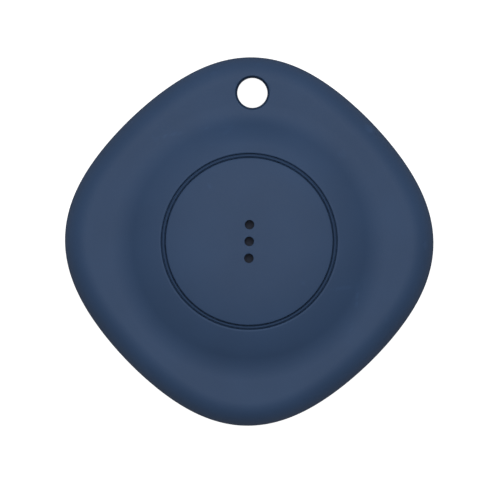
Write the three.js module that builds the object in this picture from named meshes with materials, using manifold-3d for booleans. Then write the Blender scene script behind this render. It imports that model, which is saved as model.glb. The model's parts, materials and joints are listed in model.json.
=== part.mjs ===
// A tracker tag: a rounded-diamond case, 39 mm across, with a push button, a key-ring hole and a
// coin cell. It lies on its back: +Z is the front face's normal, +Y points to the key-ring hole,
// and the origin is the middle of the flat back. Lengths are in millimetres.
import * as THREE from "three";
import { mergeVertices } from "three/addons/utils/BufferGeometryUtils.js";
import Module from "manifold-3d";

const wasm = await Module();
wasm.setup();

// Outline: radius = MEAN_RADIUS + CORNER_SWELL cos(4 angle) + CORNER_TRIM cos(8 angle)
const MEAN_RADIUS = 18.8;
const CORNER_SWELL = 0.718;
const CORNER_TRIM = 0.035;
const OUTLINE_STEPS = 48;
const ROUND_STEPS = 36;
const SMALL_STEPS = 16;

// Case heights and walls
const HEIGHT = 10.4;
const FLANGE_TOP = 7.2;
const SEAM_LOW = 3.5;
const SEAM_HIGH = 3.6;
const WALL = 1.2;
const CEILING = FLANGE_TOP - WALL;
const RIM_WALL = 1.25;
const RIM_WIDTH = 2.5;
const RIM_FOOT = 4.2;
const BACK_WIDTH = 5.5;
const BACK_RISE = 3.0;
const BACK_FLOOR = 1.1;
const RIM_STEPS = 5;

// The dome steepens from its middle to DOME_STEEP, then flattens into the flange at DOME_FOOT.
const DOME_STEEP = 12.3;
const DOME_FOOT = 14.8;
const DOME_POWER = 2.9;
const DOME_RINGS = [14.8, 14.2, 13.6, 13, 12.3, 11.5, 10.6];

// Round the key-ring hole the front sinks by HOLE_DIP, from DIP_START outwards.
const HOLE_DIP = 0.6;
const DIP_START = 10.4;
const DIP_END = 13.6;
const DIP_SPREAD = 0.42;

// Tongue on the rear cover, and the gasket grooves in both rims, as distances in from the outline
const TONGUE_FACE = 1.55;
const TONGUE_BACK = 2.1;
const TONGUE_TOP = 4.1;
const BEAD_DEPTH = 0.2;
const BEAD_LENGTH = 2.4;
const BEAD_ANGLES = [0, 45, 135, 180, 225, 270, 315];
const GROOVE_OUTER = 0.45;
const GROOVE_INNER = 0.85;
const GROOVE_DEPTH = 0.2;
const SEAL_SLACK = 0.05;

// Key-ring hole
const HOLE_Y = 15.77;
const HOLE_RADIUS = 1.6;
const HOLE_LIP = 1.82;
const HOLE_LIP_DEPTH = 0.75;
const SLEEVE_RADIUS = 2.55;
const SLEEVE_GAP = 0.3;
const HOLE_GROOVE = [1.85, 2.3];

// Button, its membrane and the parts that carry the press
const BUTTON_RADIUS = 8.86;
const BUTTON_UNDERSIDE = 9.2;
const PIEZO_LEDGE = 8.72;
const SKIRT_TOP = 8.2;
const BUTTON_FOOT = 6.65;
const FLANGE_RADIUS = 9.9;
const FLANGE_THICK = 0.3;
const SKIRT_THICK = 0.9;
const OPENING_RADIUS = 9.32;
const SOUND_HOLE_RADIUS = 0.49;
const SOUND_HOLE_PITCH = 1.78;
const SEAT_HEIGHT = 7.25;
const SEAT_RADIUS = 11;

// Board, screws and cell
const BOARD_BOTTOM = 5.33;
const BOARD_TOP = 5.93;
const BOARD_RADIUS = 12.4;
const SOLDER = 0.02;
const TRAY_BOTTOM = 4.88;
const TRAY_TOP = 5.28;
const TRAY_WALL = [10.3, 11.2];
const TRAY_FOOT = 1.5;
const EAR_BOTTOM = 2.8;
const EAR_TOP = 3.4;
const EAR_RADIUS = 1.5;
const SCREW_CIRCLE = 14.1;
const SCREW_ANGLES = [45, 135, 225, 315];
const SCREW_RADIUS = 0.68;
const SCREW_TIP = 5.6;
const BOSS_RADIUS = 1.35;
const PILOT_RADIUS = 0.72;
const CELL_RADIUS = 10;
const CELL_BOTTOM = 1.37;
const CELL_TOP = 4.57;

const PLASTIC = { roughness: 0.55, metalness: 0 };
const METAL = { roughness: 0.3, metalness: 1 };
const RUBBER = { roughness: 0.85, metalness: 0 };

// ---- solids ----------------------------------------------------------------------------------

function toSolid(geometry) {
  const bare = geometry.clone();
  bare.deleteAttribute("normal");
  bare.deleteAttribute("uv");
  const merged = mergeVertices(bare, 1e-5);
  const triVerts = [];
  const index = merged.index.array;
  for (let i = 0; i < index.length; i += 3) {
    const [a, b, c] = [index[i], index[i + 1], index[i + 2]];
    if (a !== b && b !== c && c !== a) triVerts.push(a, b, c);
  }
  const vertProperties = new Float32Array(merged.attributes.position.array);
  return new wasm.Manifold(
    new wasm.Mesh({ numProp: 3, vertProperties, triVerts: new Uint32Array(triVerts) })
  );
}

function toGeometry(solid) {
  const mesh = solid.getMesh();
  const geometry = new THREE.BufferGeometry();
  geometry.setAttribute("position", new THREE.BufferAttribute(mesh.vertProperties, 3));
  geometry.setIndex(new THREE.BufferAttribute(mesh.triVerts, 1));
  geometry.computeVertexNormals();
  return geometry;
}

// ---- rings that follow the outline or a circle -----------------------------------------------

function outlineRadius(angle) {
  return MEAN_RADIUS + CORNER_SWELL * Math.cos(4 * angle) + CORNER_TRIM * Math.cos(8 * angle);
}

function rim(inset, z) {
  return { radius: (angle) => outlineRadius(angle) - inset, z };
}

function circle(radius, z) {
  return { radius: () => radius, z };
}

function axis(z) {
  return { radius: null, z };
}

// Skins a list of rings. The list runs outwards along the underside, up the outside and back
// inwards over the top. It starts and ends on the axis, or else closes on its first ring.
// A ring's dip is how far it sinks towards the key-ring hole.
function loft(rings) {
  const positions = [];
  const starts = [];
  for (const { radius, z, dip = 0 } of rings) {
    starts.push(positions.length / 3);
    if (radius === null) {
      positions.push(0, 0, z);
      continue;
    }
    for (let step = 0; step < OUTLINE_STEPS; step += 1) {
      const angle = (2 * Math.PI * step) / OUTLINE_STEPS;
      const reach = radius(angle);
      const sunk = z - dip * Math.exp(-(((angle - Math.PI / 2) / DIP_SPREAD) ** 2));
      positions.push(reach * Math.cos(angle), reach * Math.sin(angle), sunk);
    }
  }
  const vertex = (ring, step) =>
    rings[ring].radius === null ? starts[ring] : starts[ring] + (step % OUTLINE_STEPS);
  const closes = rings[0].radius !== null;
  const index = [];
  for (let ring = 0; ring < rings.length - (closes ? 0 : 1); ring += 1) {
    const next = (ring + 1) % rings.length;
    for (let step = 0; step < OUTLINE_STEPS; step += 1) {
      const corners = [vertex(ring, step), vertex(ring, step + 1)];
      const above = [vertex(next, step), vertex(next, step + 1)];
      if (corners[0] !== corners[1]) index.push(corners[0], corners[1], above[1]);
      if (above[0] !== above[1]) index.push(corners[0], above[1], above[0]);
    }
  }
  const geometry = new THREE.BufferGeometry();
  geometry.setAttribute("position", new THREE.Float32BufferAttribute(positions, 3));
  geometry.setIndex(index);
  return geometry;
}

// ---- round and boxy pieces -------------------------------------------------------------------

// Turns a profile of [radius, z] points about the Z axis. It runs as loft's rings do.
function turned(profile, steps = ROUND_STEPS) {
  const points = profile.map(([radius, z]) => new THREE.Vector2(radius, z));
  if (profile[0][0] !== 0) points.push(points[0].clone());
  return new THREE.LatheGeometry(points, steps).rotateX(Math.PI / 2);
}

function disc(radius, bottom, top, steps = SMALL_STEPS) {
  return turned([[0, bottom], [radius, bottom], [radius, top], [0, top]], steps);
}

function ring(inner, outer, bottom, top, steps = ROUND_STEPS) {
  return turned([[inner, bottom], [outer, bottom], [outer, top], [inner, top]], steps);
}

function block(low, high) {
  const size = high.map((value, i) => value - low[i]);
  const middle = high.map((value, i) => (value + low[i]) / 2);
  return new THREE.BoxGeometry(...size).translate(...middle);
}

function drill(radius, bottom, top, x, y, steps = SMALL_STEPS) {
  return toSolid(disc(radius, bottom, top, steps).translate(x, y, 0));
}

// A rolled strip: a centre line of [x, z] points, given thickness, then width along Y.
function strip(line, thickness, width) {
  const side = (sign) =>
    line.map(([x, z], i) => {
      const before = line[Math.max(i - 1, 0)];
      const after = line[Math.min(i + 1, line.length - 1)];
      const run = Math.hypot(after[0] - before[0], after[1] - before[1]);
      const lift = (sign * thickness) / 2 / run;
      return new THREE.Vector2(x - lift * (after[1] - before[1]), z + lift * (after[0] - before[0]));
    });
  const shape = new THREE.Shape([...side(-1), ...side(1).reverse()]);
  const geometry = new THREE.ExtrudeGeometry(shape, { depth: width, bevelEnabled: false });
  return geometry.rotateX(Math.PI / 2).translate(0, width / 2, 0);
}

function onCircle(degrees, radius) {
  const angle = THREE.MathUtils.degToRad(degrees);
  return [radius * Math.cos(angle), radius * Math.sin(angle)];
}

const group = new THREE.Group();

function add(name, geometry, color, finish, place = [0, 0, 0], turn = 0) {
  const mesh = new THREE.Mesh(geometry, new THREE.MeshStandardMaterial({ color, ...finish }));
  mesh.name = name;
  mesh.position.set(...place);
  mesh.rotation.z = turn;
  group.add(mesh);
}

// ---- case ------------------------------------------------------------------------------------

// The slope's tangent grows as a power of the radius out to DOME_STEEP, then falls evenly to zero.
const STEEP_DROP = DOME_STEEP / DOME_POWER;
const FOOT_DROP = (DOME_FOOT - DOME_STEEP) / 2;
const STEEPEST = (HEIGHT - FLANGE_TOP) / (STEEP_DROP + FOOT_DROP);

function domeHeight(radius) {
  if (radius <= DOME_STEEP) {
    return HEIGHT - STEEPEST * STEEP_DROP * (radius / DOME_STEEP) ** DOME_POWER;
  }
  const left = Math.max(DOME_FOOT - radius, 0) / (DOME_FOOT - DOME_STEEP);
  return FLANGE_TOP + STEEPEST * FOOT_DROP * left ** 2;
}

function domeRing(radius) {
  const share = THREE.MathUtils.smoothstep(radius, DIP_START, DIP_END);
  return { ...circle(radius, domeHeight(radius)), dip: HOLE_DIP * share };
}

function rimRounding() {
  const rings = [];
  for (let step = 0; step <= RIM_STEPS; step += 1) {
    const angle = (Math.PI / 2) * (step / RIM_STEPS);
    const inset = RIM_WIDTH * (1 - Math.cos(angle));
    const rise = Math.sin(angle);
    const z = RIM_FOOT + (FLANGE_TOP - RIM_FOOT) * rise;
    rings.push({ ...rim(inset, z), dip: HOLE_DIP * rise });
  }
  return rings;
}

function backRounding() {
  const rings = [];
  for (let step = 0; step <= RIM_STEPS; step += 1) {
    const angle = (Math.PI / 2) * (step / RIM_STEPS);
    rings.push(rim(BACK_WIDTH * (1 - Math.sin(angle)), BACK_RISE * (1 - Math.cos(angle))));
  }
  return rings;
}

function rimGroove(low, high) {
  return toSolid(
    loft([
      rim(GROOVE_INNER, low),
      rim(GROOVE_OUTER, low),
      rim(GROOVE_OUTER, high),
      rim(GROOVE_INNER, high),
    ])
  );
}

function holeGroove(low, high) {
  return toSolid(ring(...HOLE_GROOVE, low, high, SMALL_STEPS).translate(0, HOLE_Y, 0));
}

function frontBlank() {
  return toSolid(
    loft([
      circle(OPENING_RADIUS, SEAM_HIGH),
      rim(0, SEAM_HIGH),
      ...rimRounding(),
      ...DOME_RINGS.map(domeRing),
      circle(OPENING_RADIUS + 0.1, domeHeight(OPENING_RADIUS + 0.1)),
      circle(OPENING_RADIUS, domeHeight(OPENING_RADIUS) - 0.12),
    ])
  );
}

function frontCavity() {
  return toSolid(
    loft([
      axis(SEAM_HIGH - 1),
      rim(RIM_WALL, SEAM_HIGH - 1),
      rim(RIM_WALL, RIM_FOOT + 0.3),
      rim(RIM_WALL + 0.75, CEILING - 0.4),
      rim(RIM_WALL + 1.85, CEILING),
      circle(14.6, CEILING),
      circle(13.4, CEILING + 0.1),
      circle(12.5, CEILING + 0.55),
      circle(12.1, CEILING + 1),
      circle(SEAT_RADIUS, SEAT_HEIGHT),
      axis(SEAT_HEIGHT),
    ])
  );
}

function frontShell() {
  let cavity = frontCavity().subtract(drill(SLEEVE_RADIUS, SEAM_LOW - 2, CEILING + 0.4, 0, HOLE_Y));
  for (const degrees of SCREW_ANGLES) {
    const [x, y] = onCircle(degrees, SCREW_CIRCLE);
    cavity = cavity.subtract(drill(BOSS_RADIUS, EAR_TOP + 0.05, CEILING + 0.4, x, y));
  }
  let shell = frontBlank().subtract(cavity);
  for (const degrees of SCREW_ANGLES) {
    const [x, y] = onCircle(degrees, SCREW_CIRCLE);
    shell = shell.add(drill(BOSS_RADIUS, EAR_TOP + 0.05, CEILING + 0.4, x, y));
    shell = shell.subtract(drill(PILOT_RADIUS, EAR_BOTTOM, SCREW_TIP + 0.1, x, y));
  }
  const top = FLANGE_TOP - HOLE_DIP;
  const lip = turned([
    [0, top - HOLE_LIP_DEPTH],
    [HOLE_RADIUS, top - HOLE_LIP_DEPTH],
    [HOLE_LIP, top],
    [HOLE_LIP, top + 1],
    [0, top + 1],
  ], SMALL_STEPS).translate(0, HOLE_Y, 0);
  return shell
    .subtract(drill(HOLE_RADIUS, 0, FLANGE_TOP + 1, 0, HOLE_Y))
    .subtract(toSolid(lip))
    .subtract(rimGroove(SEAM_HIGH - 1, SEAM_HIGH + GROOVE_DEPTH))
    .subtract(holeGroove(SEAM_HIGH - 1, SEAM_HIGH + GROOVE_DEPTH));
}

function tongue() {
  const sweep = toSolid(
    loft([
      rim(TONGUE_BACK, SEAM_LOW - 0.3),
      rim(TONGUE_FACE, SEAM_LOW - 0.3),
      rim(TONGUE_FACE, TONGUE_TOP - 0.12),
      rim(TONGUE_FACE + 0.12, TONGUE_TOP),
      rim(TONGUE_BACK, TONGUE_TOP),
    ])
  );
  const bead = toSolid(
    loft([
      rim(TONGUE_FACE + 0.1, TONGUE_TOP - 0.45),
      rim(TONGUE_FACE - BEAD_DEPTH / 2, TONGUE_TOP - 0.45),
      rim(TONGUE_FACE - BEAD_DEPTH, TONGUE_TOP - 0.3),
      rim(TONGUE_FACE - BEAD_DEPTH / 2, TONGUE_TOP - 0.15),
      rim(TONGUE_FACE + 0.1, TONGUE_TOP - 0.15),
    ])
  );
  let whole = sweep;
  for (const degrees of BEAD_ANGLES) {
    const slice = block([10, -BEAD_LENGTH / 2, SEAM_LOW], [20, BEAD_LENGTH / 2, HEIGHT]);
    whole = whole.add(bead.intersect(toSolid(slice.rotateZ(THREE.MathUtils.degToRad(degrees)))));
  }
  return whole.subtract(drill(SLEEVE_RADIUS + SLEEVE_GAP, SEAM_LOW, HEIGHT, 0, HOLE_Y));
}

function rearCover() {
  const blank = toSolid(loft([axis(0), ...backRounding(), rim(0, SEAM_LOW), axis(SEAM_LOW)]));
  const cavity = toSolid(
    loft([
      axis(BACK_FLOOR),
      rim(BACK_WIDTH - 0.2, BACK_FLOOR),
      rim(3.6, BACK_FLOOR + 0.25),
      rim(2.7, BACK_FLOOR + 0.9),
      rim(TONGUE_BACK, BACK_FLOOR + 1.6),
      rim(TONGUE_BACK, SEAM_LOW + 1),
      axis(SEAM_LOW + 1),
    ])
  ).subtract(drill(SLEEVE_RADIUS, -1, SEAM_LOW + 2, 0, HOLE_Y));
  const reach = outlineRadius(-Math.PI / 2);
  const nailNotch = toSolid(block([-3, -reach - 1, SEAM_LOW - 0.6], [3, -reach + 0.35, SEAM_LOW + 1]));
  return blank
    .subtract(cavity)
    .add(tongue())
    .subtract(drill(HOLE_RADIUS, -1, SEAM_LOW + 2, 0, HOLE_Y))
    .subtract(rimGroove(SEAM_LOW - GROOVE_DEPTH, SEAM_LOW + 0.05))
    .subtract(holeGroove(SEAM_LOW - GROOVE_DEPTH, SEAM_LOW + 0.05))
    .subtract(nailNotch);
}

function caseGasket() {
  const low = SEAM_LOW - GROOVE_DEPTH + SEAL_SLACK;
  const high = SEAM_HIGH + GROOVE_DEPTH - SEAL_SLACK;
  const [inner, outer] = [GROOVE_INNER - SEAL_SLACK, GROOVE_OUTER + SEAL_SLACK];
  return loft([rim(inner, low), rim(outer, low), rim(outer, high), rim(inner, high)]);
}

function eyeletGasket() {
  const low = SEAM_LOW - GROOVE_DEPTH + SEAL_SLACK;
  const high = SEAM_HIGH + GROOVE_DEPTH - SEAL_SLACK;
  return ring(HOLE_GROOVE[0] + SEAL_SLACK, HOLE_GROOVE[1] - SEAL_SLACK, low, high, SMALL_STEPS);
}

const NAVY = 0x2f4161;
add("front_shell", toGeometry(frontShell()), NAVY, PLASTIC);
add("rear_cover", toGeometry(rearCover()), NAVY, PLASTIC);
add("case_gasket", caseGasket(), 0x1c1e22, RUBBER);
add("eyelet_gasket", eyeletGasket(), 0x1c1e22, RUBBER, [0, HOLE_Y, 0]);

// ---- button ----------------------------------------------------------------------------------

function buttonCap() {
  const rimTop = domeHeight(BUTTON_RADIUS);
  const profile = [
    [0, BUTTON_UNDERSIDE],
    [3.4, BUTTON_UNDERSIDE],
    [4.9, PIEZO_LEDGE],
    [6.3, PIEZO_LEDGE],
    [BUTTON_RADIUS - SKIRT_THICK, SKIRT_TOP],
    [BUTTON_RADIUS - SKIRT_THICK, BUTTON_FOOT],
    [FLANGE_RADIUS, BUTTON_FOOT],
    [FLANGE_RADIUS, BUTTON_FOOT + FLANGE_THICK],
    [BUTTON_RADIUS, BUTTON_FOOT + FLANGE_THICK],
    [BUTTON_RADIUS, rimTop - 0.12],
  ];
  for (const radius of [BUTTON_RADIUS - 0.1, 7.8, 6.6, 5.2, 3.6, 1.8, 0.6]) {
    profile.push([radius, domeHeight(radius)]);
  }
  profile.push([0, HEIGHT]);
  let cap = toSolid(turned(profile));
  for (const place of [-1, 0, 1]) {
    cap = cap.subtract(drill(SOUND_HOLE_RADIUS, 8, HEIGHT + 1, 0, place * SOUND_HOLE_PITCH));
  }
  return cap;
}

// The membrane's rib nearly fills the gap between the button and the shell, and narrows at the top.
function buttonMembrane() {
  const bottom = BUTTON_FOOT + FLANGE_THICK + 0.07;
  const flangeTop = SEAT_HEIGHT - 0.03;
  const ribInner = BUTTON_RADIUS + 0.12;
  const ribOuter = OPENING_RADIUS - 0.12;
  const ribTop = domeHeight(OPENING_RADIUS) - 0.15;
  const shoulder = ribTop - 0.2;
  return turned([
    [ribInner - 0.08, bottom],
    [SEAT_RADIUS - 0.3, bottom],
    [SEAT_RADIUS - 0.3, flangeTop],
    [ribOuter + 0.08, flangeTop],
    [ribOuter + 0.08, shoulder],
    [ribOuter, shoulder],
    [ribOuter, ribTop],
    [ribInner, ribTop],
    [ribInner, shoulder],
    [ribInner - 0.08, shoulder],
  ]);
}

function membraneRetainer() {
  const top = BUTTON_FOOT + FLANGE_THICK + 0.05;
  return ring(FLANGE_RADIUS + 0.15, SEAT_RADIUS - 0.1, top - 0.4, top);
}

// A bridge under the sounder: it hangs from the button at both ends and presses the switch.
function buttonActuator() {
  const [half, wall, floor, depth] = [7.4, 0.9, 0.3, 3];
  const [bottom, top] = [7.6, SKIRT_TOP];
  const points = [
    [-half, bottom],
    [half, bottom],
    [half, top],
    [half - wall, top],
    [half - wall, bottom + floor],
    [wall - half, bottom + floor],
    [wall - half, top],
    [-half, top],
  ];
  const shape = new THREE.Shape(points.map(([x, z]) => new THREE.Vector2(x, z)));
  const channel = new THREE.ExtrudeGeometry(shape, { depth, bevelEnabled: false });
  return channel.rotateX(Math.PI / 2).translate(0, depth / 2, 0);
}

add("button_cap", toGeometry(buttonCap()), NAVY, PLASTIC);
add("button_membrane", buttonMembrane(), 0x2b3a56, RUBBER);
add("membrane_retainer", membraneRetainer(), 0x202329, PLASTIC);
add("acoustic_mesh", disc(3, BUTTON_UNDERSIDE - 0.12, BUTTON_UNDERSIDE - 0.02), 0x15171b, RUBBER);
add("button_actuator", buttonActuator(), 0xd8d8d2, PLASTIC);

// ---- piezo sounder, bonded under the button ---------------------------------------------------

const PLATE_TOP = PIEZO_LEDGE - 0.24;

// Each lead drops from the sounder and ends above the board, clear of it when the button is down.
function piezoLead(x) {
  const start = PLATE_TOP - 0.54;
  const route = new THREE.CatmullRomCurve3([
    new THREE.Vector3(x, -3.2, start),
    new THREE.Vector3(x, -4.1, start - 0.35),
    new THREE.Vector3(x * 0.8, -4.6, start - 0.9),
    new THREE.Vector3(x * 0.8, -4.4, 6.55),
  ]);
  const section = new THREE.Shape();
  section.absarc(0, 0, 0.16, 0, 2 * Math.PI);
  return new THREE.ExtrudeGeometry(section, { steps: 8, curveSegments: 8, extrudePath: route });
}

add("piezo_adhesive_ring", ring(5.1, 6, PLATE_TOP + 0.02, PIEZO_LEDGE - 0.02), 0x2a2b2e, RUBBER);
add("piezo_plate", disc(6, PLATE_TOP - 0.2, PLATE_TOP, ROUND_STEPS), 0xc8a24a, METAL);
add("piezo_ceramic", disc(3.8, PLATE_TOP - 0.34, PLATE_TOP - 0.22, ROUND_STEPS), 0xe9e6dd, PLASTIC);
add("piezo_lead_red", piezoLead(1.2), 0xa32020, RUBBER);
add("piezo_lead_black", piezoLead(-1.2), 0x17171a, RUBBER);

// ---- switch ----------------------------------------------------------------------------------

const SWITCH_HALF = 2.3;
const SWITCH_BASE = BOARD_TOP + SOLDER;
const SWITCH_WELL = 1.55;

function switchBody() {
  const body = toSolid(
    block([-SWITCH_HALF, -SWITCH_HALF, SWITCH_BASE], [SWITCH_HALF, SWITCH_HALF, SWITCH_BASE + 0.9])
  );
  return body.subtract(drill(SWITCH_WELL, SWITCH_BASE + 0.25, SWITCH_BASE + 2, 0, 0));
}

function switchCover() {
  const bottom = SWITCH_BASE + 0.92;
  const plate = block([-SWITCH_HALF, -SWITCH_HALF, bottom], [SWITCH_HALF, SWITCH_HALF, bottom + 0.1]);
  return toSolid(plate).subtract(drill(1.1, bottom - 1, bottom + 1, 0, 0));
}

function switchDome() {
  const profile = [];
  for (const share of [0, 0.5, 1]) {
    profile.push([1.4 * share, SWITCH_BASE + 0.55 - 0.25 * share ** 2]);
  }
  for (const share of [1, 0.5, 0]) {
    profile.push([1.4 * share, SWITCH_BASE + 0.61 - 0.25 * share ** 2]);
  }
  return turned(profile, SMALL_STEPS);
}

function switchPlunger() {
  const foot = SWITCH_BASE + 0.66;
  return turned([
    [0, foot],
    [1.3, foot],
    [1.3, foot + 0.2],
    [1, foot + 0.2],
    [1, 7.45],
    [0.9, 7.55],
    [0, 7.55],
  ], SMALL_STEPS);
}

add("tact_switch_body", toGeometry(switchBody()), 0x1d1d1f, PLASTIC);
add("tact_switch_cover", toGeometry(switchCover()), 0xb9bcc0, METAL);
add("tact_switch_dome", switchDome(), 0xc7c9cc, METAL);
add("tact_switch_plunger", switchPlunger(), 0x1a1a1c, PLASTIC);

// ---- board and what is soldered to it --------------------------------------------------------

function chip(width, depth, height) {
  return new THREE.BoxGeometry(width, depth, height).translate(0, 0, height / 2);
}

function addChip(name, [x, y], [width, depth, height], color, finish) {
  add(name, chip(width, depth, height), color, finish, [x, y, BOARD_TOP + SOLDER]);
}

add("circuit_board", disc(BOARD_RADIUS, BOARD_BOTTOM, BOARD_TOP, ROUND_STEPS), 0x1d5a3a, PLASTIC);
addChip("bluetooth_chip", [-4.7, 0], [4, 4, 0.85], 0x17181a, PLASTIC);
addChip("radio_crystal", [-3.6, 3.6], [2, 1.6, 0.5], 0xc9cbce, METAL);
addChip("clock_crystal", [4.3, 3.6], [3.2, 1.5, 0.8], 0xc9cbce, METAL);
addChip("chip_antenna", [-11.2, 0], [1.5, 5, 0.4], 0xe6e3da, PLASTIC);
addChip("power_inductor", [4.6, 0], [2.5, 2, 1], 0x3a3b3d, PLASTIC);
for (let i = 0; i < 6; i += 1) {
  const place = [-1.4 + 1.6 * (i % 3), 4.2 + 1.3 * Math.floor(i / 3)];
  addChip(`capacitor_${i + 1}`, place, [1, 0.5, 0.5], 0xb08c62, PLASTIC);
}

// ---- battery carrier, contacts and screws ----------------------------------------------------

// A plate under the board, a wall round the cell, and four low ears for the screws.
function batteryCarrier() {
  let carrier = toSolid(disc(BOARD_RADIUS, TRAY_BOTTOM, TRAY_TOP, ROUND_STEPS));
  carrier = carrier.add(toSolid(ring(...TRAY_WALL, TRAY_FOOT, TRAY_BOTTOM + 0.2)));
  for (const degrees of SCREW_ANGLES) {
    const arm = block([TRAY_WALL[1] - 0.3, -EAR_RADIUS, EAR_BOTTOM], [SCREW_CIRCLE, EAR_RADIUS, EAR_TOP]);
    const [x, y] = onCircle(degrees, SCREW_CIRCLE);
    carrier = carrier
      .add(toSolid(arm.rotateZ(THREE.MathUtils.degToRad(degrees))))
      .add(drill(EAR_RADIUS, EAR_BOTTOM, EAR_TOP, x, y))
      .subtract(drill(0.8, EAR_BOTTOM - 1, EAR_TOP + 1, x, y));
  }
  const sideSlot = toSolid(block([9, -2.1, TRAY_FOOT - 1], [BOARD_RADIUS + 1, 2.1, TRAY_TOP + 1]));
  const window = toSolid(block([-5.5, -1.7, TRAY_BOTTOM - 1], [5.5, 1.7, TRAY_TOP + 1]));
  return carrier.subtract(sideSlot).subtract(window);
}

const LEAF = 0.15;
const LEAF_TOP = BOARD_BOTTOM - SOLDER - LEAF / 2;

function negativeContact() {
  const touch = CELL_TOP + SOLDER + LEAF / 2;
  const line = [
    [-4.8, LEAF_TOP],
    [-2.6, LEAF_TOP],
    [-1.2, LEAF_TOP - 0.3],
    [0.8, touch + 0.03],
    [2, touch],
    [3.2, touch + 0.2],
  ];
  return strip(line, LEAF, 2.6);
}

function positiveContact() {
  const touch = CELL_RADIUS + 0.03 + LEAF / 2;
  const line = [
    [12.1, LEAF_TOP],
    [11.2, LEAF_TOP],
    [10.95, LEAF_TOP - 0.2],
    [10.9, 4.2],
    [touch, 3],
    [touch + 0.15, 2.2],
  ];
  return strip(line, LEAF, 3.2);
}

function carrierScrew() {
  const head = EAR_BOTTOM - 0.02;
  const body = toSolid(
    turned([
      [0, head - 0.65],
      [0.9, head - 0.65],
      [1.1, head - 0.45],
      [1.1, head],
      [SCREW_RADIUS, head],
      [SCREW_RADIUS, SCREW_TIP - 0.5],
      [0.25, SCREW_TIP],
      [0, SCREW_TIP],
    ], SMALL_STEPS)
  );
  const slot = (across, along) =>
    toSolid(block([-across, -along, head - 1], [across, along, head - 0.3]));
  return body.subtract(slot(0.14, 0.62)).subtract(slot(0.62, 0.14));
}

add("battery_carrier", toGeometry(batteryCarrier()), 0x24272c, PLASTIC);
add("negative_contact", negativeContact(), 0xd6d2c4, METAL);
add("positive_contact", positiveContact(), 0xd6d2c4, METAL);
SCREW_ANGLES.forEach((degrees, i) => {
  const [x, y] = onCircle(degrees, SCREW_CIRCLE);
  add(`carrier_screw_${i + 1}`, toGeometry(carrierScrew()), 0xb4b6b8, METAL, [x, y, 0]);
});

// ---- coin cell and its pad -------------------------------------------------------------------

const CAN_WALL = 0.25;

function cellCan() {
  const [bottom, lip] = [CELL_BOTTOM, CELL_TOP - 0.25];
  const inner = CELL_RADIUS - CAN_WALL;
  return turned([
    [0, bottom],
    [CELL_RADIUS - 0.25, bottom],
    [CELL_RADIUS, bottom + 0.25],
    [CELL_RADIUS, lip - 0.3],
    [CELL_RADIUS - 0.25, lip],
    [CELL_RADIUS - 0.6, lip],
    [CELL_RADIUS - 0.6, lip - 0.15],
    [inner, lip - 0.4],
    [inner, bottom + CAN_WALL],
    [0, bottom + CAN_WALL],
  ]);
}

function cellGrommet() {
  return turned([
    [8.85, CELL_BOTTOM + 0.35],
    [9.65, CELL_BOTTOM + 0.35],
    [9.65, CELL_TOP - 0.75],
    [9.32, CELL_TOP - 0.5],
    [9.32, CELL_TOP - 0.25],
    [8.85, CELL_TOP - 0.25],
  ]);
}

function cellCap() {
  return turned([
    [0, CELL_TOP - CAN_WALL],
    [8.5, CELL_TOP - CAN_WALL],
    [8.5, CELL_BOTTOM + 0.5],
    [8.78, CELL_BOTTOM + 0.5],
    [8.78, CELL_TOP - 0.2],
    [8.58, CELL_TOP],
    [0, CELL_TOP],
  ]);
}

add("cell_can", cellCan(), 0xc2c4c6, METAL);
add("cell_grommet", cellGrommet(), 0x3c3f44, RUBBER);
add("cell_cap", cellCap(), 0xcfd1d3, METAL);
add("cell_core", disc(8.4, CELL_BOTTOM + 0.3, CELL_TOP - 0.3, ROUND_STEPS), 0x2c2c2e, RUBBER);
add("cell_foam_pad", disc(6.5, BACK_FLOOR + 0.02, CELL_BOTTOM - 0.02, ROUND_STEPS), 0x303236, RUBBER);

export default group;
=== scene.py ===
"""The looks of a tracker tag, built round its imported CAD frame.

Shapes are worked out in millimetres in the frame's own axes, and scaled to metres as each mesh is
made.
"""
import json
import math

import bmesh
import bpy
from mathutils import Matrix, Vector


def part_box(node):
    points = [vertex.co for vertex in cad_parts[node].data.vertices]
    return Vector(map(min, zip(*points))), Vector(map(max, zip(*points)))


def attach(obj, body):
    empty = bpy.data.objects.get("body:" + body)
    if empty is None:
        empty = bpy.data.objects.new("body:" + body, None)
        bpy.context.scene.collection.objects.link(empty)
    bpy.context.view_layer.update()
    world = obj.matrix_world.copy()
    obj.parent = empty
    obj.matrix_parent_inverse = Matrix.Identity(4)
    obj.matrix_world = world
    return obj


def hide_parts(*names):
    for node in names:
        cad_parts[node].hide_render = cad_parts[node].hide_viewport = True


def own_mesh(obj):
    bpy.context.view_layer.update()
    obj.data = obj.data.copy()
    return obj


MM = 0.001
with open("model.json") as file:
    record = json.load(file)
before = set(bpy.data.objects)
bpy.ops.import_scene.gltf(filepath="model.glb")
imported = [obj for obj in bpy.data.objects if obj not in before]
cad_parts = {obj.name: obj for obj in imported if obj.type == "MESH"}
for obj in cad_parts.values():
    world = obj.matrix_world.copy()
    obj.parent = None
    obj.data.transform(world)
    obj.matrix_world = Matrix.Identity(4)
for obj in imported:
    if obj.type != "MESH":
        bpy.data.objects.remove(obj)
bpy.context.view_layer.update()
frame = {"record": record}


def span(node):
    """The lowest and highest corners of a CAD node, in millimetres."""
    low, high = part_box(node)
    return low / MM, high / MM


def middle(node):
    """The middle of a CAD node's box, in millimetres."""
    low, high = span(node)
    return (low + high) / 2


# Case dimensions that the frame gives
CORNER_RADIUS = span("front_shell")[1].x
TONGUE_TOP = span("rear_cover")[1].z
HOLE_Y = middle("eyelet_gasket").y

# Case shape, as the CAD has it
HEIGHT = 10.4
FLANGE_TOP = 7.2
SEAM_LOW = 3.5
SEAM_HIGH = 3.6
CORNER_SWELL = 0.718
CORNER_TRIM = 0.035
WALL = 1.2
CEILING = FLANGE_TOP - WALL

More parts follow.
